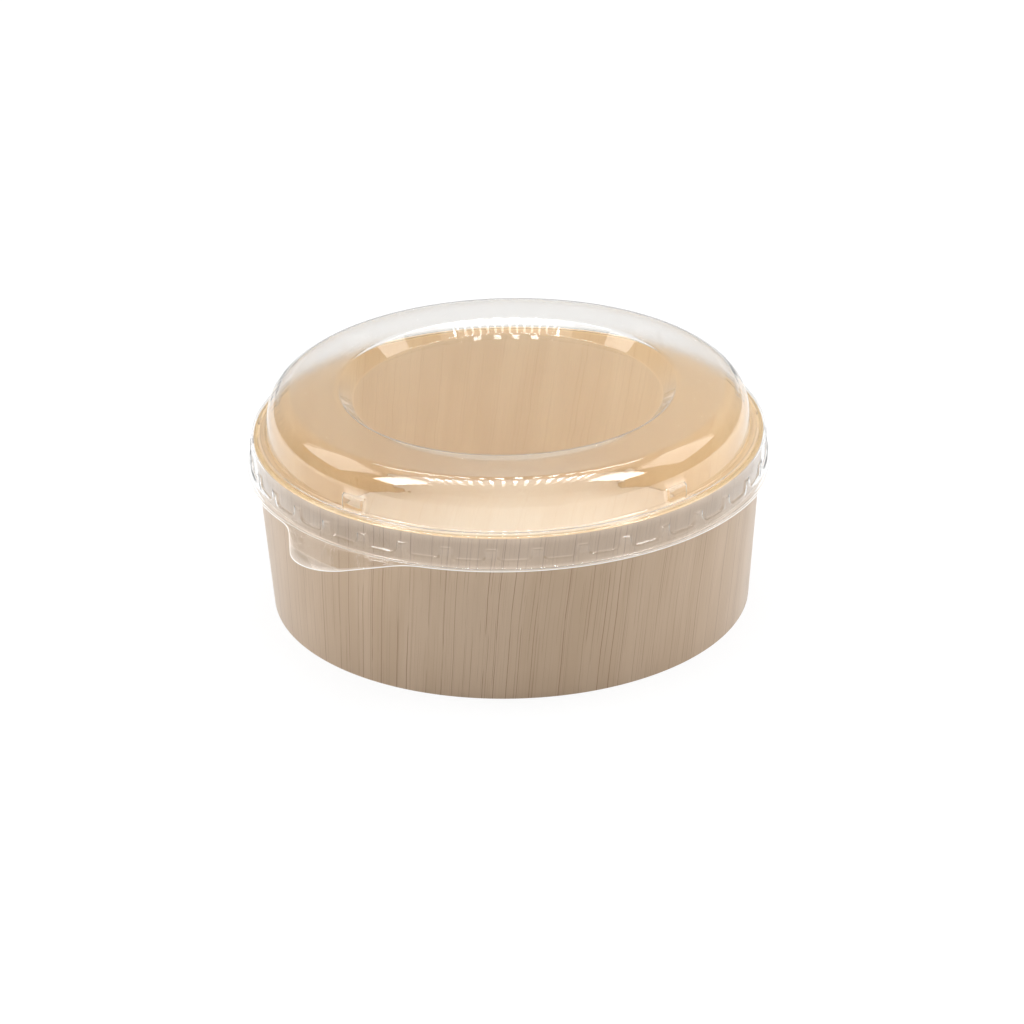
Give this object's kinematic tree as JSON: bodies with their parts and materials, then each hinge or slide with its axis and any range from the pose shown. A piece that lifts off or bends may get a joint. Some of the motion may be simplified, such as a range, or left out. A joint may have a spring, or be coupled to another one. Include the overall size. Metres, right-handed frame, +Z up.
{
  "type": "takeaway bowl",
  "caption": "Round takeaway bowl of bent wood laminate, slightly tapered, with a clear thermoformed dome lid that snaps over the rim and has a pull tab.",
  "frame": {"origin": "centre of the foot, on the surface that the bowl stands on", "axes": "+Z up along the bowl's axis; -Y is the front in the picture, and the pull tab points to the front left, between -X and -Y"},
  "size_m": [0.1356, 0.1356, 0.0577],
  "materials": {
    "outer_veneer": "matt light wood veneer, upright grain with fine dark pores",
    "inner_veneer": "satin light wood veneer",
    "core_board": "matt, golden cut edge",
    "base_board": "matt board",
    "clear_film": "clear glossy thermoformed film"
  },
  "bodies": {
    "bowl": {"wall_outer_veneer": "outer_veneer", "wall_core_board": "core_board", "wall_inner_veneer": "inner_veneer", "base_board": "base_board", "base_top_veneer": "inner_veneer", "base_under_veneer": "outer_veneer"},
    "lid": {"lid": "clear_film"}
  },
  "joints": [
    {"name": "lid_lift", "type": "slide", "parent": "bowl", "child": "lid", "axis": [0, 0, 1], "range_m": [0, 0.07]}
  ]
}
